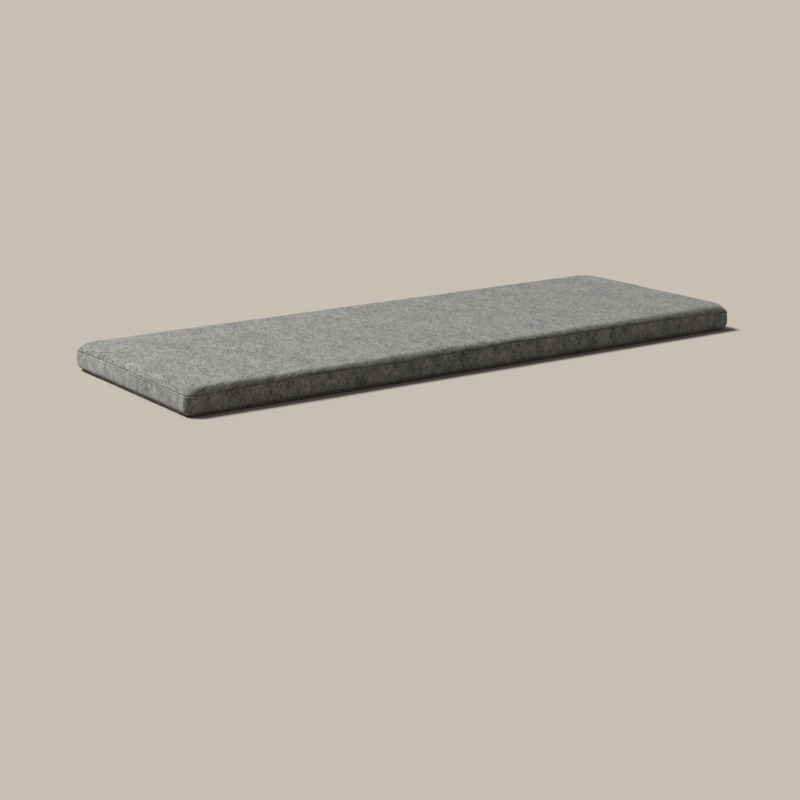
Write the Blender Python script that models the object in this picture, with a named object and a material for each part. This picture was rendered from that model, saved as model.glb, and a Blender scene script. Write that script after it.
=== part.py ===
"""A long boxed bench cushion, lying flat on its underside.

Run with: blender --background --python part.py, or from Blender's text editor.
Metres, +Z up, +X along the cushion, -Y its front edge. The origin is on the
surface that it rests on, under the middle of the cushion.

Three sewn pieces make it:
  cushion_body  the filled solid, whose skin is the top panel and the bottom panel
  boxing_left   the side band from the front join, round the left end, to the back join
  boxing_right  the side band from the front join, round the right end, to the back join
"""

import math

import bmesh
import bpy

MM = 0.001

# Driving sizes
LENGTH = 1.200  # along X, over the widest part of the side band
DEPTH = 0.445  # along Y, over the same
CORNER_RADIUS = 14.0 * MM  # of the band's widest outline, in plan
SEAM_HEIGHT = 39.6 * MM  # the upper seam, before it wanders
BOTTOM_SEAM_HEIGHT = 4.0 * MM  # the lower seam, tucked under the band's lower roll
BAND_THICKNESS = 2.0 * MM  # pile cloth with its turned seam allowances
GAP = 0.3 * MM  # between neighbouring pieces
JOIN_OFFSET = 0.139  # the front join is this far left of the middle
SHADING_ANGLE = math.radians(40)  # steeper edges than this stay sharp

# How finely the rim is divided
LONG_SIDE_STEPS = 30
SHORT_SIDE_STEPS = 8
CORNER_STEPS = 6

# How the upper seam and the lower roll wander along a side, as millimetres up.
# share: the place along the side's straight run, counter-clockwise seen from above.
LONG_SIDE_WANDER = (
    # share, seam_rise, base_lift
    (0.00, -2.8, 0.4),
    (0.04, -2.3, 0.0),
    (0.12, 0.2, 2.3),
    (0.21, 2.4, 1.6),
    (0.34, -0.6, 0.2),
    (0.42, 0.6, 1.2),
    (0.47, 1.2, 0.3),
    (0.56, 3.7, 2.1),
    (0.65, 0.9, 0.9),
    (0.73, 1.7, 1.8),
    (0.80, 0.2, 0.6),
    (0.87, 0.6, 1.8),
    (0.91, -1.0, 2.6),
    (0.96, -1.8, 0.6),
    (1.00, -2.8, 0.4),
)
SHORT_SIDE_WANDER = (
    # share, seam_rise, base_lift
    (0.00, -2.8, 0.4),
    (0.25, -1.2, 0.9),
    (0.50, -0.6, 0.4),
    (0.75, -1.4, 0.8),
    (1.00, -2.8, 0.4),
)

# The band's section, bottom to top. share: the place between the lower seam (0)
# and the upper seam (1); inset: millimetres in from the widest outline.
BAND_SECTION = (
    # share, inset
    (0.000, 4.6),
    (0.090, 1.9),
    (0.240, 0.4),
    (0.500, 0.0),
    (0.740, 0.2),
    (0.885, 1.1),  # the groove of the topstitching
    (0.945, 0.6),  # the ridge that the turned allowance makes
    (1.000, 1.9),
)

# The filled solid's skin under and over the band, in millimetres, from bottom to top.
# follow: the share of the wander that a row takes; radius: of its plan corners.
BOTTOM_PANEL_SECTION = (
    # inset, height, follow, radius
    (13.0, 0.0, 0.0, 20.0),
    (8.6, 0.8, 0.5, 18.0),
    (4.7, 4.0, 1.0, 12.0),
)
TOP_PANEL_SECTION = (
    # inset, height, follow, radius
    (2.0, 39.6, 1.0, 14.0),
    (2.9, 42.8, 0.9, 18.0),
    (4.7, 45.7, 0.7, 21.0),
    (7.2, 48.1, 0.4, 24.0),
    (10.2, 49.8, 0.2, 28.0),
    (14.1, 50.6, 0.1, 34.0),
    (26.0, 50.9, 0.0, 36.0),
    (55.0, 51.4, 0.0, 34.0),
    (110.0, 51.9, 0.0, 30.0),
    (170.0, 52.0, 0.0, 24.0),
)


def eased(table, share):
    """The table's two columns at a share of the side, in metres, eased between rows."""
    for before, after in zip(table, table[1:]):
        if share <= after[0]:
            part = (share - before[0]) / (after[0] - before[0])
            blend = part * part * (3 - 2 * part)
            return [(a + (b - a) * blend) * MM for a, b in zip(before[1:], after[1:])]
    return [value * MM for value in table[-1][1:]]


def station(side, share, turn=None):
    """A place on the rim: along a side, or at a turn (0 to 1) of the corner after it.

    Sides 0 to 3 are the front, the right end, the back and the left end.
    """
    seam_rise, base_lift = eased(SHORT_SIDE_WANDER if side % 2 else LONG_SIDE_WANDER, share)
    return {
        "side": side % 4,
        "share": share,
        "turn": turn,
        "seam_rise": seam_rise,
        "base_lift": base_lift,
    }


def stations_along(side, start=0.0, end=1.0):
    """The stations of a side's straight run, from one share of it to another."""
    steps = SHORT_SIDE_STEPS if side % 2 else LONG_SIDE_STEPS
    between = [i / steps for i in range(steps + 1) if start < i / steps < end]
    return [station(side, share) for share in (start, *between, end)]


def stations_round(side):
    """The stations inside the corner that follows a side."""
    return [station(side, 1.0, i / CORNER_STEPS) for i in range(1, CORNER_STEPS)]


def plan_point(place, inset, radius):
    """Where a station lies on the rounded rectangle that is drawn in by inset."""
    half_x = LENGTH / 2 - inset - radius
    half_y = DEPTH / 2 - inset - radius
    # The side is worked out as if it faced -Y, and is then turned into place.
    half_run, half_off = (half_y, half_x) if place["side"] % 2 else (half_x, half_y)
    if place["turn"] is None:
        run = half_run * (2 * place["share"] - 1)
        off = half_off + radius
    else:
        angle = place["turn"] * math.pi / 2
        run = half_run + radius * math.sin(angle)
        off = half_off + radius * math.cos(angle)
    cos, sin = ((1, 0), (0, 1), (-1, 0), (0, -1))[place["side"]]
    return run * cos + off * sin, run * sin - off * cos


def panel_ring(stations, row, wander):
    """One ring of a panel's skin. wander: which of a station's two heights it follows."""
    inset, height, follow, radius = row
    return [
        (*plan_point(place, inset * MM, radius * MM), height * MM + follow * place[wander])
        for place in stations
    ]


def band_point(place, share, inset, trim=0.0):
    """A point of the band's section, with its two edges trimmed back by trim."""
    low = BOTTOM_SEAM_HEIGHT + place["base_lift"] + trim
    high = SEAM_HEIGHT + place["seam_rise"] - trim
    x, y = plan_point(place, inset, CORNER_RADIUS - inset)
    return x, y, low + (high - low) * share


def build_body(material):
    """The filled solid: flat base, rolled edges, a recess for the band and a low crown."""
    stations = [
        place for side in range(4) for place in stations_along(side) + stations_round(side)
    ]
    rings = [panel_ring(stations, row, "base_lift") for row in BOTTOM_PANEL_SECTION]
    for share, inset in BAND_SECTION:
        recess = inset * MM + BAND_THICKNESS + GAP
        rings.append([band_point(place, share, recess) for place in stations])
    rings += [panel_ring(stations, row, "seam_rise") for row in TOP_PANEL_SECTION]

    mesh = bmesh.new()
    loops = [[mesh.verts.new(point) for point in ring] for ring in rings]
    for lower, upper in zip(loops, loops[1:]):
        join_loops(mesh, lower, upper)
    mesh.faces.new(reversed(loops[0]))
    mesh.faces.new(loops[-1])
    return finished("cushion_body", mesh, material)


def build_strip(name, first_side, material):
    """One strip of the side band, from the join on a long side to the join on the other."""
    straight_run = LENGTH - 2 * CORNER_RADIUS
    join = 0.5 - JOIN_OFFSET / straight_run
    trim = GAP / 2 / straight_run
    stations = (
        stations_along(first_side, start=join + trim)
        + stations_round(first_side)
        + stations_along(first_side + 1)
        + stations_round(first_side + 1)
        + stations_along(first_side + 2, end=join - trim)
    )

    mesh = bmesh.new()
    loops = []
    for place in stations:
        outer = [band_point(place, share, inset * MM, GAP) for share, inset in BAND_SECTION]
        inner = [
            band_point(place, share, inset * MM + BAND_THICKNESS, GAP)
            for share, inset in reversed(BAND_SECTION)
        ]
        loops.append([mesh.verts.new(point) for point in outer + inner])
    for this, following in zip(loops, loops[1:]):
        join_loops(mesh, following, this)
    mesh.faces.new(loops[0])
    mesh.faces.new(reversed(loops[-1]))
    return finished(name, mesh, material)


def join_loops(mesh, lower, upper):
    """A ring of faces between two loops of the same count."""
    for i, corner in enumerate(lower):
        j = (i + 1) % len(lower)
        mesh.faces.new((corner, lower[j], upper[j], upper[i]))


def finished(name, mesh, material):
    """The named object that a bmesh makes, shaded and with its material."""
    data = bpy.data.meshes.new(name)
    mesh.to_mesh(data)
    mesh.free()
    data.materials.append(material)
    data.shade_smooth()
    data.set_sharp_from_angle(angle=SHADING_ANGLE)
    made = bpy.data.objects.new(name, data)
    bpy.context.scene.collection.objects.link(made)
    return made


def cloth(name, colour):
    """A plain brushed cloth."""
    material = bpy.data.materials.new(name)
    material.use_nodes = True
    shader = material.node_tree.nodes["Principled BSDF"]
    shader.inputs["Base Color"].default_value = (*colour, 1.0)
    shader.inputs["Roughness"].default_value = 0.95
    shader.inputs["Metallic"].default_value = 0.0
    return material


def main():
    for old in list(bpy.data.objects):
        bpy.data.objects.remove(old)

    build_body(cloth("panel_cloth", (0.26, 0.26, 0.25)))
    band_cloth = cloth("band_cloth", (0.21, 0.21, 0.20))
    build_strip("boxing_right", 0, band_cloth)
    build_strip("boxing_left", 2, band_cloth)


main()
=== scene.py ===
# %% [markdown]
# # A bench cushion in brushed grey chenille
#
# The real thing is a slab of foam in a sewn cover: a top panel that rolls over the edge, a
# bottom panel, and a side band, the boxing, between them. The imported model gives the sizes
# and the places of the seams. This lesson puts the softness, the sewing and the cloth on it.

# %% Load the frame
import math

import bpy
import numpy as np
from mathutils import Matrix, Vector


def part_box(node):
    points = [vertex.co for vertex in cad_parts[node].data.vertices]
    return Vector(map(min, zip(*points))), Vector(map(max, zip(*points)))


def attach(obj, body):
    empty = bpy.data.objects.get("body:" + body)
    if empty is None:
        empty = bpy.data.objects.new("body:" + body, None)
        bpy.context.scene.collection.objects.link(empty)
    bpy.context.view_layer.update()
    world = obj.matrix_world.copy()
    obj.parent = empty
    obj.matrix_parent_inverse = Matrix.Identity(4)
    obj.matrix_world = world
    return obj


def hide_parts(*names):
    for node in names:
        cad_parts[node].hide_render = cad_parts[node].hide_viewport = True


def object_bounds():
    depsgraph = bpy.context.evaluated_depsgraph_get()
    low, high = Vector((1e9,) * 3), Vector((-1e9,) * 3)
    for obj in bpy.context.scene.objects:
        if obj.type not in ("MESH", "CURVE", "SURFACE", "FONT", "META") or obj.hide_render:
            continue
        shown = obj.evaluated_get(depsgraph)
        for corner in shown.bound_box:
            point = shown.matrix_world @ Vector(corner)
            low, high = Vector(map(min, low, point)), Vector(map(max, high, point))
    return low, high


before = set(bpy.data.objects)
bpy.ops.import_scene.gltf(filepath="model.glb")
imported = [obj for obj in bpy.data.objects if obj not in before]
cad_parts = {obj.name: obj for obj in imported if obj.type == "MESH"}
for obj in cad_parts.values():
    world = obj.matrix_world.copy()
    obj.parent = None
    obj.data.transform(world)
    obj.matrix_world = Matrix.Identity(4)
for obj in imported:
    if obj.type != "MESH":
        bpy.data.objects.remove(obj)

MM = 0.001
cad_low, cad_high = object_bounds()
LENGTH, DEPTH, HEIGHT = cad_high - cad_low
print(f"cushion {LENGTH / MM:.0f} x {DEPTH / MM:.0f} x {HEIGHT / MM:.0f} mm")

# %% [markdown]
# ## Stations round the rim
#
# Every seam, roll and band of a boxed cushion runs round it, so the whole rim is laid out on
# one set of stations. A station is a place on a rounded rectangle: the corner's centre that
# it swings about, and the angle that it faces. A ring is then found for any inset and any
# corner radius, and rings with different corners still match point for point.

# %% Rim
CORNER_RADIUS = 14 * MM  # the band's plan corners
CORNER_STEPS = 10  # an even count, so that a station stands in the middle of each corner
CORNERS = ((-1, -1), (1, -1), (1, 1), (-1, 1))  # front left first, counter-clockwise


class Rim:
    """Stations round the cushion, counter-clockwise from the left end of the front side."""

    def __init__(self, spacing):
        self.steps = [
            round((side - 2 * CORNER_RADIUS) / spacing) for side in (LENGTH, DEPTH) * 2
        ]
        centre, angle = [], []
        for side, steps in enumerate(self.steps):
            start, end = np.array(CORNERS[side]), np.array(CORNERS[(side + 1) % 4])
            facing = (side - 1) * math.pi / 2
            for i in range(steps):
                centre.append(start + (end - start) * i / steps)
                angle.append(facing)
            for i in range(CORNER_STEPS):
                centre.append(end)
                angle.append(facing + i / CORNER_STEPS * math.pi / 2)
        self.centre = np.array(centre, float)
        self.angle = np.array(angle)
        self.count = len(angle)
        outline = self.ring(0, CORNER_RADIUS)
        lengths = np.linalg.norm(np.roll(outline, -1, axis=0) - outline, axis=1)
        self.along = np.concatenate([[0], np.cumsum(lengths)[:-1]])
        self.length = lengths.sum()

    def ring(self, inset, radius):
        """The plan of a ring drawn in from the widest outline, as points (x, y)."""
        half = np.array([LENGTH, DEPTH]) / 2 - inset - radius
        outward = np.stack([np.cos(self.angle), np.sin(self.angle)], axis=1)
        return self.centre * half + outward * radius

    def grid_order(self):
        """Where the ring's points go round a grid whose corners are the corners' middles."""
        across = self.steps[0] + CORNER_STEPS
        deep = self.steps[1] + CORNER_STEPS
        order = np.roll(np.arange(self.count), CORNER_STEPS // 2)
        return across, deep, order


coarse = Rim(spacing=6.5 * MM)
print(f"{coarse.count} stations round {coarse.length:.2f} m of rim")

# %% [markdown]
# ## Where the seams run
#
# A sewn edge is never quite straight: it rises and dips by a few millimetres as the foam
# pushes and the thread pulls. The model's two boxing strips already follow that line, so the
# heights of both seams are read from them, and smoothed between their stations.

# %% Seam heights


def strip_edges():
    """The upper and the lower edge of the boxing strips, as heights along the rim."""
    names = ("boxing_left", "boxing_right")
    points = np.array([v.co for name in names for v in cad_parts[name].data.vertices])
    outline = coarse.ring(0, CORNER_RADIUS)
    gaps = np.linalg.norm(points[:, None, :2] - outline[None], axis=2)
    along = coarse.along[gaps.argmin(axis=1)]
    places = np.unique(along)
    highest = np.array([points[along == place, 2].max() for place in places])
    lowest = np.array([points[along == place, 2].min() for place in places])
    return places, highest, lowest


def round_the_rim(places, values, along, ease=14 * MM):
    """Values at places on the rim, read at every station and eased over a short length."""
    offsets = np.linspace(-ease, ease, 9)
    reads = [np.interp(along + o, places, values, period=coarse.length) for o in offsets]
    return np.mean(reads, axis=0)


places, highest, lowest = strip_edges()
print(f"upper seam from {highest.min() / MM:.1f} to {highest.max() / MM:.1f} mm high")

# %% [markdown]
# ## Soft, repeatable unevenness
#
# Cloth over foam is uneven everywhere, and a model without that looks moulded. A grid of fixed
# random heights, read with smooth steps between them, gives hills and hollows of any size. It
# can also wrap, so that what runs round the rim meets itself.

# %% Hills
LATTICE = np.random.default_rng(24).uniform(-1, 1, (12, 512, 64))


def hills(u, v, layer, wrap=512):
    """Smooth noise from -1 to 1, with a hill or a hollow at each whole step of u and of v."""
    u, v = np.broadcast_arrays(np.asarray(u, float), np.asarray(v, float))
    i, j = np.floor(u).astype(int), np.floor(v).astype(int)
    s, t = u - i, v - j
    s, t = s * s * (3 - 2 * s), t * t * (3 - 2 * t)
    heights = LATTICE[layer]
    near, far = i % wrap, (i + 1) % wrap
    low, high = j % 64, (j + 1) % 64
    below = heights[near, low] * (1 - s) + heights[far, low] * s
    above = heights[near, high] * (1 - s) + heights[far, high] * s
    return below * (1 - t) + above * t


def rim_hills(along, across, cell, cell_across, layer):
    """The same, in cells of about the given size, wrapped round the rim."""
    count = round(coarse.length / cell)
    return hills(along / coarse.length * count, across / cell_across, layer, wrap=count)


# %% [markdown]
# ## The section across the rim
#
# From the floor upward the skin runs: flat base, a small roll, the lower seam, the band, the
# upper seam, and a fuller roll on to the top panel, which then climbs very slightly to its
# crown. Distances across the cloth are counted from the upper seam: up and over the panel is
# plus, down the band is minus.

# %% Section
ROLL_REACH = 14.1 * MM  # how far in from the outline the upper roll ends
ROLL_RISE = 20 * MM
CROWN = 1.3 * MM
PANEL_EDGE = 31 * MM  # cloth distance at which the rim hands over to the panel's grid
PANEL_CORNER_RADIUS = 34 * MM  # of the plan where the upper roll ends
SEAM_HEIGHT = highest.mean()

# The base's small roll, and the band between its seams.
# share: from the lower seam (0) to the upper seam (1); the rest in mm.
BASE_SECTION = (
    # inset, height, plan radius
    (13.0, 0.0, 20.0),
    (8.6, 0.6, 18.0),
)
BAND_SECTION = (
    # share, inset
    (0.00, 4.6),
    (0.06, 2.8),
    (0.14, 1.3),
    (0.25, 0.4),
    (0.38, 0.1),
    (0.52, 0.0),
    (0.66, 0.0),
    (0.79, 0.3),
    (0.90, 0.9),
    (1.00, 1.6),
)
PANEL_SECTION = np.array((3.2, 6.4, 9.6, 13, 17, 21, 26, 31)) * MM  # from the upper seam
LOWER_SEAM_SHIFT = 3.5  # mm of inset at which the base's cloth distances start
UPPER_SEAM_ROW = len(BASE_SECTION) + len(BAND_SECTION) - 1


def roll_section(distance):
    """Inset and height of the upper roll at a cloth distance from the upper seam."""
    base = HEIGHT - CROWN - ROLL_RISE
    start = math.asin((SEAM_HEIGHT - base) / ROLL_RISE)
    swing = np.linspace(start, math.pi / 2, 60)
    inset = ROLL_REACH * (1 - np.cos(swing))
    height = base + ROLL_RISE * np.sin(swing)
    run = np.concatenate([[0], np.cumsum(np.hypot(np.diff(inset), np.diff(height)))])
    beyond = max(0, distance - run[-1])
    return np.interp(distance, run, inset) + beyond, np.interp(distance, run, height)


def crown_rise(x, y):
    """How far the panel stands above the end of its roll, at places in plan."""
    rise = CROWN
    for place, side in ((x, LENGTH), (y, DEPTH)):
        climb = (side / 2 - abs(place) - ROLL_REACH) / (DEPTH / 2 - ROLL_REACH)
        rise = rise * (1 - (1 - np.clip(climb, 0, 1)) ** 2)
    return rise


# %% [markdown]
# ## The form of the filled cushion
#
# The rows of the section are swept round the rim. The same function lays the cover out a
# little slack, with the band drawn in and the top panel low, as a cover is before the foam
# is pushed in: that is the shape which the simulation starts from.

# %% Form
SLACK_TOP = 2.2 * MM
SLACK_BAND = 1.2 * MM
SEAM_FOLLOWS = 17 * MM  # how far over the roll the seam's rise and fall can be felt


def form_rows(rim, slack):
    """The rim's rows from the base to the panel's edge, and their cloth distances."""
    upper = round_the_rim(places, highest, rim.along)
    lower = round_the_rim(places, lowest, rim.along)
    band = (upper - lower).mean()
    rows, distances = [], []

    def add(distance, inset, height, radius):
        plan = rim.ring(inset, radius)
        rise = crown_rise(*plan.T) if distance > ROLL_REACH else 0
        rows.append(np.column_stack([plan, np.broadcast_to(height + rise, rim.count)]))
        distances.append(distance)

    for inset, height, radius in BASE_SECTION:
        distance = -band - (inset - LOWER_SEAM_SHIFT) * MM
        add(distance, inset * MM, height * MM, radius * MM)
    for share, inset in BAND_SECTION:
        drawn_in = inset * MM + slack * SLACK_BAND * math.sin(math.pi * share)
        height = lower + (upper - lower) * share
        add(-band * (1 - share), drawn_in, height, CORNER_RADIUS - inset * MM / 2)
    for distance in PANEL_SECTION:
        inset, height = roll_section(distance)
        rolled = min(1, inset / ROLL_REACH)
        radius = CORNER_RADIUS + (PANEL_CORNER_RADIUS - CORNER_RADIUS) * rolled
        follow = max(0, 1 - distance / SEAM_FOLLOWS) ** 1.5
        lowered = slack * SLACK_TOP * min(1, distance / ROLL_REACH) ** 1.5
        add(distance, inset, height - lowered + follow * (upper - SEAM_HEIGHT), radius)
    return np.array(rows), np.array(distances)


def across_the_panel(ring, rim):
    """A grid of points inside a ring, which is blended from its four edges."""
    across, deep, order = rim.grid_order()
    edge = np.concatenate([ring[order], ring[order[:1]]])
    front, right = edge[: across + 1], edge[across : across + deep + 1]
    back = edge[across + deep : 2 * across + deep + 1][::-1]
    left = edge[2 * across + deep :][::-1]
    u = np.linspace(0, 1, across + 1)[:, None, None]
    v = np.linspace(0, 1, deep + 1)[None, :, None]
    grid = (1 - v) * front[:, None] + v * back[:, None]
    grid += (1 - u) * left[None] + u * right[None]
    grid -= (1 - u) * ((1 - v) * front[0] + v * back[0])
    grid -= u * ((1 - v) * front[-1] + v * back[-1])
    return grid


def skin_faces(row_count, rim):
    """Quads over rows of stations, and over the grid that fills the last row."""
    index = np.arange(row_count * rim.count).reshape(row_count, rim.count)
    after = np.roll(index, -1, axis=1)
    quads = np.stack([index[:-1], after[:-1], after[1:], index[1:]], axis=-1)
    across, deep, order = rim.grid_order()
    edge = index[-1][order]
    edge = np.concatenate([edge, edge[:1]])
    grid = np.zeros((across + 1, deep + 1), int)
    grid[:, 0] = edge[: across + 1]
    grid[-1, :] = edge[across : across + deep + 1]
    grid[:, -1] = edge[across + deep : 2 * across + deep + 1][::-1]
    grid[0, :] = edge[2 * across + deep :][::-1]
    inside = grid[1:-1, 1:-1]
    inside[:] = index.size + np.arange(inside.size).reshape(inside.shape)
    cells = np.stack([grid[:-1, :-1], grid[1:, :-1], grid[1:, 1:], grid[:-1, 1:]], axis=-1)
    return np.concatenate([quads.reshape(-1, 4), cells.reshape(-1, 4)])


slack_rows, distances = form_rows(coarse, slack=1)
panel = across_the_panel(slack_rows[-1], coarse)[1:-1, 1:-1]
panel[..., 2] = HEIGHT - CROWN - SLACK_TOP + crown_rise(panel[..., 0], panel[..., 1])
slack_points = np.concatenate([slack_rows.reshape(-1, 3), panel.reshape(-1, 3)])
slack_faces = skin_faces(len(slack_rows), coarse)
print(f"{len(slack_points)} points in the slack cover")

# %% [markdown]
# ## Fill it with a cloth simulation
#
# Blender's Cloth modifier can push a cover outward with pressure. Gravity is turned off. The
# seams are pinned, and so is the middle of the panel, which lies flat on firm foam. The cloth
# is cut about one per cent larger than its pattern, which makes it pucker against the thread.

# %% Simulation
PRESSURE = 4.0
EXTRA_CLOTH = 0.012
FRAMES = 20
FOAM_HOLDS_FROM = 65 * MM  # from the outline inward


def filled(points, faces, held):
    """The points after pressure has filled the cover, with the held ones where they were."""
    data = bpy.data.meshes.new("cover")
    data.from_pydata(points.tolist(), [], faces.tolist())
    cover = bpy.data.objects.new("cover", data)
    bpy.context.scene.collection.objects.link(cover)
    pins = cover.vertex_groups.new(name="held")
    pins.add([int(i) for i in np.flatnonzero(held)], 1.0, "REPLACE")
    cloth = cover.modifiers.new("Cloth", "CLOTH")
    cloth.settings.vertex_group_mass = pins.name
    cloth.settings.use_pressure = True
    cloth.settings.uniform_pressure_force = PRESSURE
    cloth.settings.shrink_min = -EXTRA_CLOTH
    cloth.settings.effector_weights.gravity = 0
    cloth.collision_settings.use_collision = False
    for step in range(1, FRAMES + 1):
        bpy.context.scene.frame_set(step)
    result = np.zeros(len(points) * 3, np.float32)
    graph = bpy.context.evaluated_depsgraph_get()
    cover.evaluated_get(graph).data.vertices.foreach_get("co", result)
    bpy.data.objects.remove(cover)
    bpy.context.scene.frame_set(1)
    return result.reshape(-1, 3).astype(float)


moved = np.zeros_like(slack_rows)
held = np.zeros(len(slack_points), bool)
for row in (0, 1, 2, UPPER_SEAM_ROW):
    held[row * coarse.count : (row + 1) * coarse.count] = True
on_foam = (LENGTH / 2 - abs(panel[..., 0]) > FOAM_HOLDS_FROM) & (
    DEPTH / 2 - abs(panel[..., 1]) > FOAM_HOLDS_FROM
)
held[slack_rows.size // 3 :] = on_foam.ravel()
after = filled(slack_points, slack_faces, held)
moved = after[: slack_rows.size // 3].reshape(slack_rows.shape) - slack_rows
print(f"the cover's rim moved by up to {np.linalg.norm(moved, axis=2).max() / MM:.1f} mm")

# %% [markdown]
# ## Keep the puckers, not the balloon
#
# Left to itself the pressure would blow the cover up like an air bed, and foam doesn't. So the
# movement is split: its average over each stretch of rim is dropped, since the form above
# already has the foam's shape, and the short, uneven part, the puckers, is kept and capped.

# %% Puckers
PUCKER_CAP = 1.1 * MM
STRETCH = 9  # stations each way that an average is taken over
PUCKER_SHARE = 0.5


def puckers(moved, rim):
    """The uneven part of the movement, worked out facing outward, along and up."""
    cos, sin = np.cos(rim.angle), np.sin(rim.angle)
    x, y, up = np.moveaxis(moved, -1, 0)
    turned = np.stack([x * cos + y * sin, y * cos - x * sin, up], axis=-1)
    average = np.mean([np.roll(turned, k, axis=1) for k in range(-STRETCH, STRETCH + 1)], axis=0)
    uneven = turned - average
    uneven = PUCKER_CAP * np.tanh(uneven / PUCKER_CAP)
    out, along, up = np.moveaxis(uneven, -1, 0)
    return np.stack([out * cos - along * sin, out * sin + along * cos, up], axis=-1)


patches = 0.5 + 0.5 * rim_hills(coarse.along, 0, 130 * MM, 1, layer=3)
fade = np.clip(1 - np.maximum(distances, 0) / PANEL_EDGE, 0, 1)[:, None, None]
form, distances = form_rows(coarse, slack=0)
form = form + PUCKER_SHARE * fade * patches[None, :, None] * puckers(moved, coarse)

# %% [markdown]
# ## Read the skin anywhere
#
# The pieces of the cover need finer points than the simulation had, most of all beside the
# seams. So the rows and stations are read as smooth curves: any distance across the cloth and
# any place along the rim gives a point on the skin and the way that the skin faces there.

# %% Skin


def through(knots, values, wanted, axis):
    """Values read at wanted places, on a smooth curve through the values at the knots."""
    values = np.moveaxis(values, axis, 0)
    slope = np.gradient(values, knots, axis=0)
    i = np.clip(np.searchsorted(knots, wanted, side="right") - 1, 0, len(knots) - 2)
    shape = (-1,) + (1,) * (values.ndim - 1)
    width = (knots[i + 1] - knots[i]).reshape(shape)
    t = (wanted - knots[i]).reshape(shape) / width
    start = (2 * t**3 - 3 * t**2 + 1) * values[i] + (t**3 - 2 * t**2 + t) * width * slope[i]
    end = (3 * t**2 - 2 * t**3) * values[i + 1] + (t**3 - t**2) * width * slope[i + 1]
    return np.moveaxis(start + end, 0, axis)


def unit(vectors):
    return vectors / np.linalg.norm(vectors, axis=-1, keepdims=True)


class Skin:
    """The cover's surface, read at a cloth distance from the upper seam and a rim place."""

    LAP = 4  # stations repeated past each end, so that curves run on through the start

    def __init__(self, points, distances, rim):
        self.distances = distances
        lap = slice(-self.LAP, None), slice(None, self.LAP)
        self.along = np.concatenate(
            [rim.along[lap[0]] - rim.length, rim.along, rim.along[lap[1]] + rim.length]
        )
        self.points = np.concatenate([points[:, lap[0]], points, points[:, lap[1]]], axis=1)
        step_along = np.gradient(self.points, self.along, axis=1)
        step_across = np.gradient(self.points, distances, axis=0)
        self.outward = unit(np.cross(step_along, step_across))
        self.length = rim.length

    def read(self, distances, along):
        """Points and outward directions, as rows (distances) by columns (along)."""
        along = np.asarray(along) % self.length
        found = []
        for values in (self.points, self.outward):
            rows = through(self.distances, values, np.asarray(distances, float), axis=0)
            found.append(through(self.along, rows, along, axis=1))
        return found[0], unit(found[1])


skin = Skin(form, distances, coarse)

# %% [markdown]
# ## What sewing does to the edge
#
# Two lines of stitching show: the seam itself, where panel and band turn in together, and a
# second row a few millimetres below it, which holds the turned allowance flat. Between them
# the four layers make a narrow ridge. All of it is a small rise or fall of the skin.

# %% Seam profile
JOIN_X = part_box("boxing_right")[0].x
TOPSTITCH = 4.4 * MM  # below the upper seam
RIDGE = 2.3 * MM  # below the upper seam
FRONT_JOIN = JOIN_X + LENGTH / 2 - CORNER_RADIUS
BACK_JOIN = FRONT_JOIN + coarse.length / 2
LOWER_SEAM = skin.distances[len(BASE_SECTION)]


def dent(distance, centre, width):
    """1 at the centre, easing to 0 over about the width."""
    return np.exp(-(((distance - centre) / width) ** 2))


def corner_nearness(along, reach):
    """1 at the cushion's four corners, easing to 0 over about the reach."""
    turn = CORNER_RADIUS * math.pi / 2
    half = coarse.length / 2
    first = LENGTH - 2 * CORNER_RADIUS + turn / 2
    second = first + turn + DEPTH - 2 * CORNER_RADIUS
    near = 0
    for corner in (first, second):
        gap = (along - corner + half / 2) % half - half / 2
        near = near + dent(gap, 0, reach)
    return near


def sewn_rise(distance, along):
    """How far the skin stands out (or in) because of the sewing, in metres.

    The factors before the dents are millimetres of rise.
    """
    distance, along = distance[:, None], along[None, :]
    band_side = distance < 0
    rise = -1.1 * dent(distance, 0, 1.1 * MM)
    rise = rise + band_side * 0.55 * dent(distance, -RIDGE, 1.1 * MM)
    rise = rise - band_side * 0.4 * dent(distance, -TOPSTITCH, 0.8 * MM)
    rise = rise - 1.0 * dent(distance, LOWER_SEAM, 1.4 * MM)
    for join in (FRONT_JOIN, BACK_JOIN):
        rise = rise - band_side * 1.1 * dent(along, join, 1.5 * MM)
    ear = corner_nearness(along, 6 * MM) * dent(distance, 0, 4.5 * MM)
    return (rise + 0.6 * ear) * MM


# %% [markdown]
# ## What wear and handling do
#
# A cover that has been sat on is never flat. Broad, low hills cross the panel, the band has
# soft upright flutes where the foam shows through, and short puckers run off the seam, more
# of them towards the corners, where there is more cloth than edge.

# %% Unevenness


def panel_hills(x, y):
    """Rise of the top panel's cloth over the foam, in metres."""
    broad = 0.55 * hills(x / 0.13, y / 0.10, layer=1)
    middle = 0.28 * hills(x / 0.048 + y / 0.2, y / 0.060, layer=2)
    small = 0.12 * hills(x / 0.017, y / 0.026, layer=4)
    return (broad + middle + small) * MM


def rim_unevenness(distance, along):
    """Rise of the skin round the rim, in metres."""
    distance, along = distance[:, None], along[None, :]
    free = np.clip(abs(distance) / (6 * MM), 0, 1)
    flutes = 0.65 * rim_hills(along, distance, 46 * MM, 60 * MM, layer=5)
    flutes = flutes + 0.30 * rim_hills(along, distance, 19 * MM, 45 * MM, layer=6)
    near_corner = 0.35 + 1.2 * corner_nearness(along, 45 * MM)
    short = rim_hills(along, distance, 8.5 * MM, 26 * MM, layer=7)
    short = 0.35 * near_corner * short * np.exp(-abs(distance) / (12 * MM))
    return free * (flutes + short) * MM


# %% [markdown]
# ## The filled body
#
# One closed form holds the base, the shallow recess that the band lies in, the upper roll and
# the top panel. It is flat only underneath, where it rests. Every point also keeps the place
# that it has on the flat, unfolded cloth, in metres, so that the pile runs over the edge
# unbroken when the material reads it.

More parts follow.
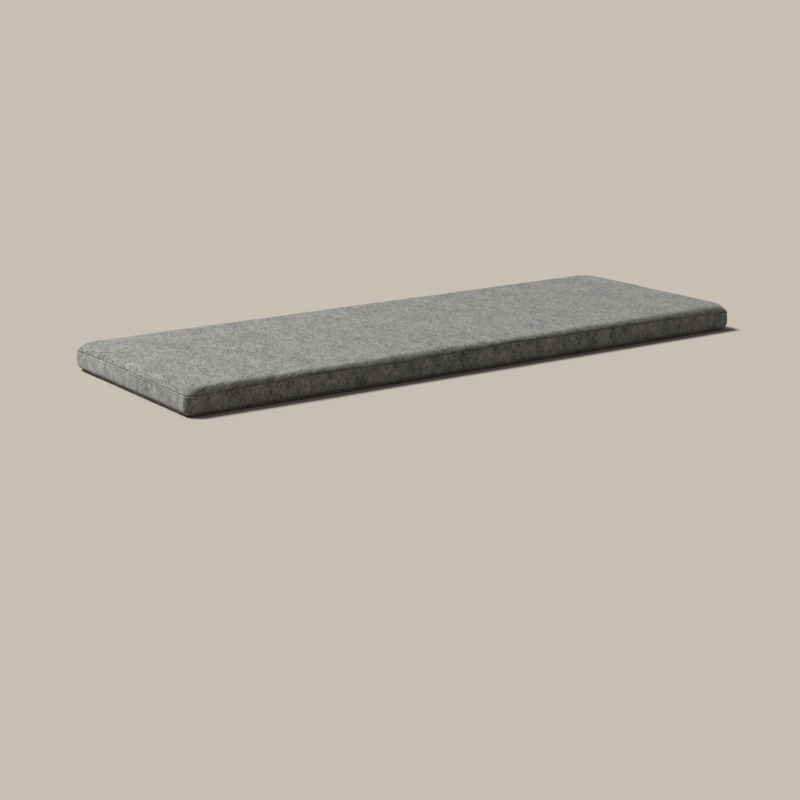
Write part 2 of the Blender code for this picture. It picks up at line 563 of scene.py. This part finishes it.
# %% Body piece
BAND_THICKNESS = 2.0 * MM
GAP = 0.3 * MM
fine = Rim(spacing=3.25 * MM)
along = fine.along / fine.length * coarse.length


def skin_rows(rows, along, sunk=0.0):
    """Finished points of the skin, and how they face, with all that sewing and wear do."""
    rows = np.asarray(rows, float)
    points, outward = skin.read(rows, along)
    rise = sewn_rise(rows, along)
    over = np.clip(rows / PANEL_EDGE, 0, 1)[:, None]
    rise = rise + (1 - over) * rim_unevenness(rows, along)
    rise = rise + over * panel_hills(points[..., 0], points[..., 1])
    grounded = np.clip(points[..., 2] / (4 * MM), 0, 1)
    return points + outward * (rise * grounded - sunk)[..., None], outward


def new_piece(name, points, faces, cloth_places):
    """A smooth-shaded object, with the unfolded place of each point as an attribute."""
    data = bpy.data.meshes.new(name)
    data.from_pydata(points.tolist(), [], faces)
    places_on_cloth = data.attributes.new("cloth", "FLOAT_VECTOR", "POINT")
    places_on_cloth.data.foreach_set("vector", np.asarray(cloth_places, np.float32).ravel())
    data.shade_smooth()
    piece = bpy.data.objects.new(name, data)
    bpy.context.scene.collection.objects.link(piece)
    triangles = sum(len(face) - 2 for face in faces)
    print(f"{name}: {triangles} triangles")
    return piece


BASE_ROWS = skin.distances[:2].tolist() + [LOWER_SEAM - 2 * MM, LOWER_SEAM - GAP / 2]
RECESS_ROWS = np.linspace(LOWER_SEAM, 0, 9)
ROLL_ROWS = MM * np.array(
    (0.15, 0.6, 1, 1.4, 1.8, 2.3, 3, 4, 5.2, 6.6, 8.2, 10, 12, 14, 16.5, 19, 22, 25, 28, 31)
)
base_points, _ = skin_rows(BASE_ROWS, along)
recess_points, _ = skin_rows(RECESS_ROWS, along, sunk=BAND_THICKNESS + GAP)
roll_points, _ = skin_rows(ROLL_ROWS, along)
base_points[0, :, 2] = 0
body_rows = np.concatenate([base_points, recess_points, roll_points])
top = across_the_panel(body_rows[-1], fine)
x, y = top[..., 0], top[..., 1]
top[1:-1, 1:-1, 2] = (HEIGHT - CROWN + crown_rise(x, y) + panel_hills(x, y))[1:-1, 1:-1]
body_points = np.concatenate([body_rows.reshape(-1, 3), top[1:-1, 1:-1].reshape(-1, 3)])

facing = np.stack([np.cos(fine.angle), np.sin(fine.angle)], axis=1)
unfolded = [
    body_rows[-1, :, :2] + facing * (PANEL_EDGE - distance)
    for distance in [*BASE_ROWS, *RECESS_ROWS, *ROLL_ROWS]
]
unfolded = np.concatenate([np.array(unfolded).reshape(-1, 2), top[1:-1, 1:-1, :2].reshape(-1, 2)])
body_places = np.column_stack([unfolded, np.zeros(len(unfolded))])
body_faces = skin_faces(len(body_rows), fine).tolist()
body_faces.append(list(range(fine.count))[::-1])
body = new_piece("filled_body", body_points, body_faces, body_places)

# %% [markdown]
# ## The side band
#
# The band is cut as two long strips, joined at the front and at the back. Each is a closed
# strip of cloth 2 mm thick. Its rows stand half a millimetre apart beside the upper seam,
# where the ridge and the stitching are, and wider apart down the side.

# %% Band pieces
BAND_ROWS = np.concatenate([
    np.array((0.15, 0.5, 0.9, 1.3, 1.7, 2.1, 2.5, 2.9, 3.3, 3.7, 4.1, 4.5, 4.9, 5.4, 6.0)) * -MM,
    np.linspace(-7.2 * MM, LOWER_SEAM + 4 * MM, 10),
    LOWER_SEAM + np.array((2.8, 1.8, 1.0, 0.5, 0.15)) * MM,
])[::-1]
NEAR_JOIN = np.array((0.15, 0.5, 0.9, 1.4, 2.0, 2.8)) * MM
JOIN_CLEAR = 3.4 * MM  # the rim's own stations keep this far from a join
INNER_ROWS = BAND_ROWS[::-3]  # the back of the cloth needs fewer rows


def band_piece(name, start, end):
    """A strip of the band from one join to the next."""
    middle = along[(along > start + JOIN_CLEAR) & (along < end - JOIN_CLEAR)]
    wrapped = along[along < end - JOIN_CLEAR - coarse.length] + coarse.length
    stations = np.concatenate([start + NEAR_JOIN, middle, wrapped, end - NEAR_JOIN[::-1]])
    outer, _ = skin_rows(BAND_ROWS, stations)
    inner, _ = skin_rows(INNER_ROWS, stations, sunk=BAND_THICKNESS)
    rows = np.concatenate([outer, inner])
    index = np.arange(rows[..., 0].size).reshape(rows.shape[:2])
    after = np.roll(index, -1, axis=0)
    quads = np.stack([index[:, :-1], index[:, 1:], after[:, 1:], after[:, :-1]], axis=-1)
    faces = quads.reshape(-1, 4).tolist()
    faces += [index[:, 0].tolist(), index[::-1, -1].tolist()]
    across = np.concatenate([BAND_ROWS, INNER_ROWS])
    grid = np.broadcast_arrays(stations[None, :], across[:, None], 0.5)
    cloth_places = np.stack(grid, axis=-1).reshape(-1, 3)
    return new_piece(name, rows.reshape(-1, 3), faces, cloth_places)


band_right = band_piece("band_right", FRONT_JOIN, BACK_JOIN)
band_left = band_piece("band_left", BACK_JOIN, FRONT_JOIN + coarse.length)

# %% [markdown]
# ## The stitches
#
# The second row of stitching lies in a groove below the seam. Each stitch is a short length of
# thread that comes up out of the cloth, lies on it and goes down again. They are worked out
# all at once, as rings of points along a bowed line, and joined into one mesh. The two joins
# of the band have a shorter row of their own, which runs upright.

# %% Stitches
STITCH_PITCH = 4.2 * MM
STITCH_LENGTH = 3.1 * MM
THREAD_RADIUS = 0.28 * MM
THREAD_SIDES = 6
BESIDE_JOIN = 3.2 * MM
BOW = np.array((-0.20, 0.05, 0.12, 0.05, -0.20)) * MM  # above the cloth, along a stitch
TAPER = np.array((0.35, 0.9, 1.0, 0.9, 0.35))


def threads(name, points, outward):
    """One mesh of bowed threads, from lines of points on the cloth, a line to each stitch."""
    points = points + outward * BOW[:, None]
    lengthwise = unit(np.gradient(points, axis=1))
    sideways = unit(np.cross(outward, lengthwise))
    turn = np.linspace(0, 2 * math.pi, THREAD_SIDES, endpoint=False)[:, None]
    ring = sideways[:, :, None] * np.cos(turn) + outward[:, :, None] * np.sin(turn)
    ring = points[:, :, None] + ring * (THREAD_RADIUS * TAPER)[:, None, None]
    index = np.arange(ring[..., 0].size).reshape(ring.shape[:3])
    after = np.roll(index, -1, axis=2)
    quads = np.stack([index[:, :-1], index[:, 1:], after[:, 1:], after[:, :-1]], axis=-1)
    faces = quads.reshape(-1, 4)[:, ::-1].tolist()
    faces += index[:, 0].tolist() + index[:, -1, ::-1].tolist()
    down_the_thread = np.broadcast_to(np.arange(5)[:, None] * 0.8 * MM, ring.shape[1:3])
    number = np.arange(len(ring))[:, None, None] * 7 * MM
    round_it = np.broadcast_to(np.arange(THREAD_SIDES) * 0.3 * MM, ring.shape[:3])
    cloth_places = np.stack([number + down_the_thread, round_it, 0 * round_it], axis=-1)
    return new_piece(name, ring.reshape(-1, 3), faces, cloth_places.reshape(-1, 3))


count = round(coarse.length / STITCH_PITCH)
starts = np.arange(count) * coarse.length / count
line = starts[:, None] + np.linspace(0, STITCH_LENGTH, 5)
points, outward = skin_rows([-TOPSTITCH], line.ravel())
upper_stitches = threads(
    "upper_stitches", points.reshape(count, 5, 3), outward.reshape(count, 5, 3)
)

down = np.arange(-TOPSTITCH - 1.5 * MM, LOWER_SEAM + 5 * MM, -STITCH_PITCH)
line = down[:, None] + np.linspace(0, -STITCH_LENGTH, 5)
sides = np.array([FRONT_JOIN, BACK_JOIN]) - BESIDE_JOIN
points, outward = skin_rows(line.ravel(), sides)
join_stitches = threads(
    "join_stitches",
    np.concatenate([points[:, k].reshape(-1, 5, 3) for k in (0, 1)]),
    np.concatenate([outward[:, k].reshape(-1, 5, 3) for k in (0, 1)]),
)

# %% [markdown]
# ## Shader maths as plain sums
#
# A material's colour is worked out by nodes. Wrapping a node's output in a small class lets
# the sums be written as sums: each operator adds one Math node. Any other kind of node comes
# from one method, which takes its settings first and then what goes into its sockets.

# %% Shader helpers


class Value:
    """An output that varies over a surface, with arithmetic that adds Math nodes."""

    def __init__(self, finish, socket):
        self.finish = finish
        self.socket = socket

    def maths(self, operation, first, second):
        return self.finish.node("Math", {"operation": operation}, {0: first, 1: second})

    def __add__(self, other):
        return self.maths("ADD", self, other)

    def __sub__(self, other):
        return self.maths("SUBTRACT", self, other)

    def __mul__(self, other):
        return self.maths("MULTIPLY", self, other)

    def __rsub__(self, other):
        return self.maths("SUBTRACT", other, self)

    __radd__ = __add__
    __rmul__ = __mul__


class Finish:
    """A material under construction."""

    def __init__(self, name, shader):
        self.material = bpy.data.materials.new(name)
        self.material.use_nodes = True
        self.tree = self.material.node_tree
        self.shader = self.tree.nodes["Principled BSDF"]
        self.set(shader)

    def node(self, kind, settings, sockets, output=0):
        """A node of a kind: its settings, then its sockets' values or links."""
        made = self.tree.nodes.new("ShaderNode" + kind)
        for name, value in settings.items():
            setattr(made, name, value)
        for name, value in sockets.items():
            self.feed(made.inputs[name], value)
        return Value(self, made.outputs[output])

    def feed(self, plug, value):
        if isinstance(value, Value):
            self.tree.links.new(value.socket, plug)
        else:
            plug.default_value = value

    def set(self, sockets):
        """The shader's own sockets: constants, or links for what varies over the surface."""
        for name, value in sockets.items():
            self.feed(self.shader.inputs[name], value)

    def cloth(self):
        """The place on the flat cloth, in metres."""
        settings = {"attribute_name": "cloth"}
        return self.node("Attribute", settings, {}, output="Vector")

    def noise(self, where, size, turned=0.0, detail=2.0, rough=0.5, output=0):
        """Noise whose grains measure about size (width, length), turned by an angle.

        Its first output is a value, and its second three values as a colour.
        """
        placed = self.node(
            "Mapping",
            {"vector_type": "TEXTURE"},
            {"Vector": where, "Rotation": (0, 0, turned), "Scale": (*size, size[0])},
        )
        sockets = {"Vector": placed, "Scale": 1.0, "Detail": detail, "Roughness": rough}
        return self.node("TexNoise", {}, sockets, output)

    def swayed(self, where, size, amount):
        """Places pushed about by up to the amount, so that nothing runs dead straight."""
        push = self.noise(where, (size, size), detail=1.0, output=1)
        push = self.node("VectorMath", {"operation": "SUBTRACT"}, {0: push, 1: (0.5, 0.5, 0.5)})
        reach = (2 * amount, 2 * amount, 0)
        return self.node(
            "VectorMath", {"operation": "MULTIPLY_ADD"}, {0: push, 1: reach, 2: where}
        )

    def mix(self, share, start, end):
        """One colour blending into another."""
        settings = {"data_type": "RGBA", "clamp_factor": True}
        sockets = {"Factor": share, 6: start, 7: end}  # 6 and 7 are its two colours
        return self.node("Mix", settings, sockets, output=2)

    def bump(self, height, depth, strength):
        sockets = {"Height": height, "Distance": depth, "Strength": strength}
        return self.node("Bump", {}, sockets)


# %% [markdown]
# ## The panel's chenille
#
# Chenille is woven from furry yarns and then brushed, so its pile lies over in short strokes.
# Each stroke is lighter or darker as it leans, and a hand passed over the seat leaves soft
# clouds. Colour is therefore made of strokes, finer hairs and clouds, all read from the flat
# cloth. The sheen of pile seen edge-on is a property of the shader itself.

# %% Panel cloth
PILE_SHADER = {"Specular IOR Level": 0.15, "Sheen Weight": 0.25, "Sheen Roughness": 0.5}
NAP = math.radians(-16)  # how far the pile's strokes are turned from straight back to front
PANEL_DARK = (0.042, 0.041, 0.038, 1)
PANEL_LIGHT = (0.262, 0.257, 0.246, 1)
BAND_DARK = (0.030, 0.031, 0.030, 1)
BAND_LIGHT = (0.300, 0.300, 0.292, 1)


def uneven(finish, parts):
    """A tone about 0.5, from pairs of a noise and how strongly it counts."""
    tone = 0.5
    for noise, strength in parts:
        tone = tone + (noise - 0.5) * strength
    return tone


def panel_cloth():
    finish = Finish("panel chenille", PILE_SHADER)
    where = finish.cloth()
    wavy = finish.swayed(where, 24 * MM, 4 * MM)
    strokes = finish.noise(wavy, (3.2 * MM, 10 * MM), NAP, detail=3.0, rough=0.65)
    hairs = finish.noise(wavy, (0.7 * MM, 2.6 * MM), NAP, detail=1.0)
    patches = finish.noise(wavy, (12 * MM, 30 * MM), NAP, detail=2.0)
    clouds = finish.noise(where, (60 * MM, 90 * MM), NAP, detail=2.0)
    tone = uneven(finish, ((strokes, 2.4), (hairs, 0.8), (patches, 0.8), (clouds, 0.5)))
    height = strokes * 0.6 + hairs * 0.4
    finish.set({
        "Base Color": finish.mix(tone, PANEL_DARK, PANEL_LIGHT),
        "Roughness": 0.86 + 0.12 * strokes,
        "Normal": finish.bump(height, 0.6 * MM, 0.6),
    })
    return finish.material


# %% [markdown]
# ## The band's chenille
#
# The band is the same cloth turned a quarter, so its thick and thin yarns, the slubs, run
# upright. It is looked at straight on, which shows more of the yarn's own flecks.

# %% Band cloth


def band_cloth():
    finish = Finish("band chenille", PILE_SHADER)
    where = finish.cloth()
    wavy = finish.swayed(where, 24 * MM, 1.5 * MM)
    slubs = finish.noise(wavy, (1.7 * MM, 11 * MM), detail=2.0, rough=0.6)
    flecks = finish.noise(wavy, (2.4 * MM, 3.4 * MM), detail=2.0, rough=0.6)
    patches = finish.noise(wavy, (13 * MM, 26 * MM), detail=2.0)
    clouds = finish.noise(where, (42 * MM, 90 * MM), detail=1.0)
    tone = uneven(finish, ((slubs, 1.5), (flecks, 1.5), (patches, 0.9), (clouds, 0.5)))
    height = slubs * 0.5 + flecks * 0.5
    finish.set({
        "Base Color": finish.mix(tone, BAND_DARK, BAND_LIGHT),
        "Roughness": 0.86 + 0.12 * slubs,
        "Normal": finish.bump(height, 0.6 * MM, 0.7),
    })
    return finish.material


def thread():
    finish = Finish("sewing thread", {"Roughness": 0.6, "Specular IOR Level": 0.3})
    where = finish.cloth()
    twist = finish.noise(where, (0.35 * MM, 1.2 * MM), math.radians(35), detail=0.0)
    colour = finish.mix(twist, (0.10, 0.10, 0.095, 1), (0.20, 0.20, 0.19, 1))
    finish.set({"Base Color": colour, "Normal": finish.bump(twist, 0.15 * MM, 0.6)})
    return finish.material


body.data.materials.append(panel_cloth())
side_cloth = band_cloth()
sewing_thread = thread()
for piece, material in (
    (band_right, side_cloth),
    (band_left, side_cloth),
    (upper_stitches, sewing_thread),
    (join_stitches, sewing_thread),
):
    piece.data.materials.append(material)

# %% [markdown]
# ## Give every piece its body, and hide the plain solids
#
# Every piece rides with the one body, since cloth has no joints. The three plain solids of the
# model are replaced by the pieces that stand for them.

# %% Ride and replace
for piece in (body, band_left, band_right, upper_stitches, join_stitches):
    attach(piece, "root")

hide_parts("cushion_body")
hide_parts("boxing_left")
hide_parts("boxing_right")

BAND_WIDTH = -LOWER_SEAM - GAP
STRIP_LENGTH = coarse.length / 2 - GAP
print(f"each strip is cut {BAND_WIDTH / MM:.0f} x {STRIP_LENGTH / MM:.0f} mm")

# %% [markdown]
# ## Camera
#
# The cushion is seen from in front and to the left, a little from above, through a fairly
# long lens, so that its long sides stay nearly parallel.

# %% Camera
AZIMUTH = math.radians(-33.42)
ELEVATION = math.radians(14.05)
ROLL = math.radians(0.63)
DISTANCE = 3.448
AIM_RIGHT, AIM_UP = 0.0313, 0.1215  # where the cushion's middle stands in the view, metres
back = np.array([
    math.sin(AZIMUTH) * math.cos(ELEVATION),
    -math.cos(AZIMUTH) * math.cos(ELEVATION),
    math.sin(ELEVATION),
])
right = np.array([math.cos(AZIMUTH), math.sin(AZIMUTH), 0.0])
up = np.cross(back, right)
eye = np.array([0, 0, 0.025]) - AIM_RIGHT * right - AIM_UP * up + DISTANCE * back
rolled_right = math.cos(ROLL) * right - math.sin(ROLL) * up
rolled_up = math.sin(ROLL) * right + math.cos(ROLL) * up
turned = Matrix(np.stack([rolled_right, rolled_up, back], axis=1).tolist()).to_4x4()

camera = bpy.data.objects.new("camera", bpy.data.cameras.new("camera"))
camera.data.lens = 81.74
camera.data.clip_end = 300
camera.matrix_world = Matrix.Translation(eye.tolist()) @ turned
bpy.context.scene.collection.objects.link(camera)
bpy.context.scene.camera = camera

# %% [markdown]
# ## Floor and light
#
# A warm pale floor runs far past the view. A broad sun comes from the upper left and a little
# behind, so the top is bright, the left end half lit and the front in soft shade. A panel of
# light near the left end makes the light fade along the cushion. It is linked to the cushion's
# pieces alone, so that it leaves no bright patch on the floor.

# %% Floor and light


def floor_paint():
    finish = Finish("floor", {"Roughness": 0.95, "Specular IOR Level": 0.05})
    where = finish.node("TexCoord", {}, {}, output="Object")
    soft = finish.noise(where, (0.35, 0.35), detail=2.0)
    colour = finish.mix(soft, (0.425, 0.385, 0.335, 1), (0.440, 0.400, 0.350, 1))
    finish.set({"Base Color": colour})
    return finish.material


FAR = 120
floor_data = bpy.data.meshes.new("floor")
floor_corners = [(FAR * x, FAR * y, 0) for x, y in CORNERS]
floor_data.from_pydata(floor_corners, [], [(0, 1, 2, 3)])
floor_data.materials.append(floor_paint())
floor = bpy.data.objects.new("floor", floor_data)
bpy.context.scene.collection.objects.link(floor)


def lamp(name, kind, energy, place, aim, **settings):
    """A light at a place, pointing at another."""
    light = bpy.data.lights.new(name, kind)
    light.energy = energy
    for setting, value in settings.items():
        setattr(light, setting, value)
    made = bpy.data.objects.new(name, light)
    made.location = place
    made.rotation_euler = (Vector(aim) - Vector(place)).to_track_quat("-Z", "Y").to_euler()
    bpy.context.scene.collection.objects.link(made)
    return made


lamp("sun", "SUN", 4.3, (-3.6, 4.0, 8.4), (0, 0, 0), angle=math.radians(18))
fade = lamp("panel", "AREA", 18, (-1.3, 0.8, 1.2), (-0.5, 0, 0.05), shape="DISK", size=0.6)
lit = bpy.data.collections.new("lit by the panel")
for piece in (body, band_left, band_right, upper_stitches, join_stitches):
    lit.objects.link(piece)
fade.light_linking.receiver_collection = lit

world = bpy.data.worlds.new("studio")
bpy.context.scene.world = world
world.use_nodes = True
world.node_tree.nodes["Background"].inputs["Color"].default_value = (1.0, 0.99, 0.97, 1)
world.node_tree.nodes["Background"].inputs["Strength"].default_value = 0.19
bpy.context.scene.view_settings.view_transform = "Standard"
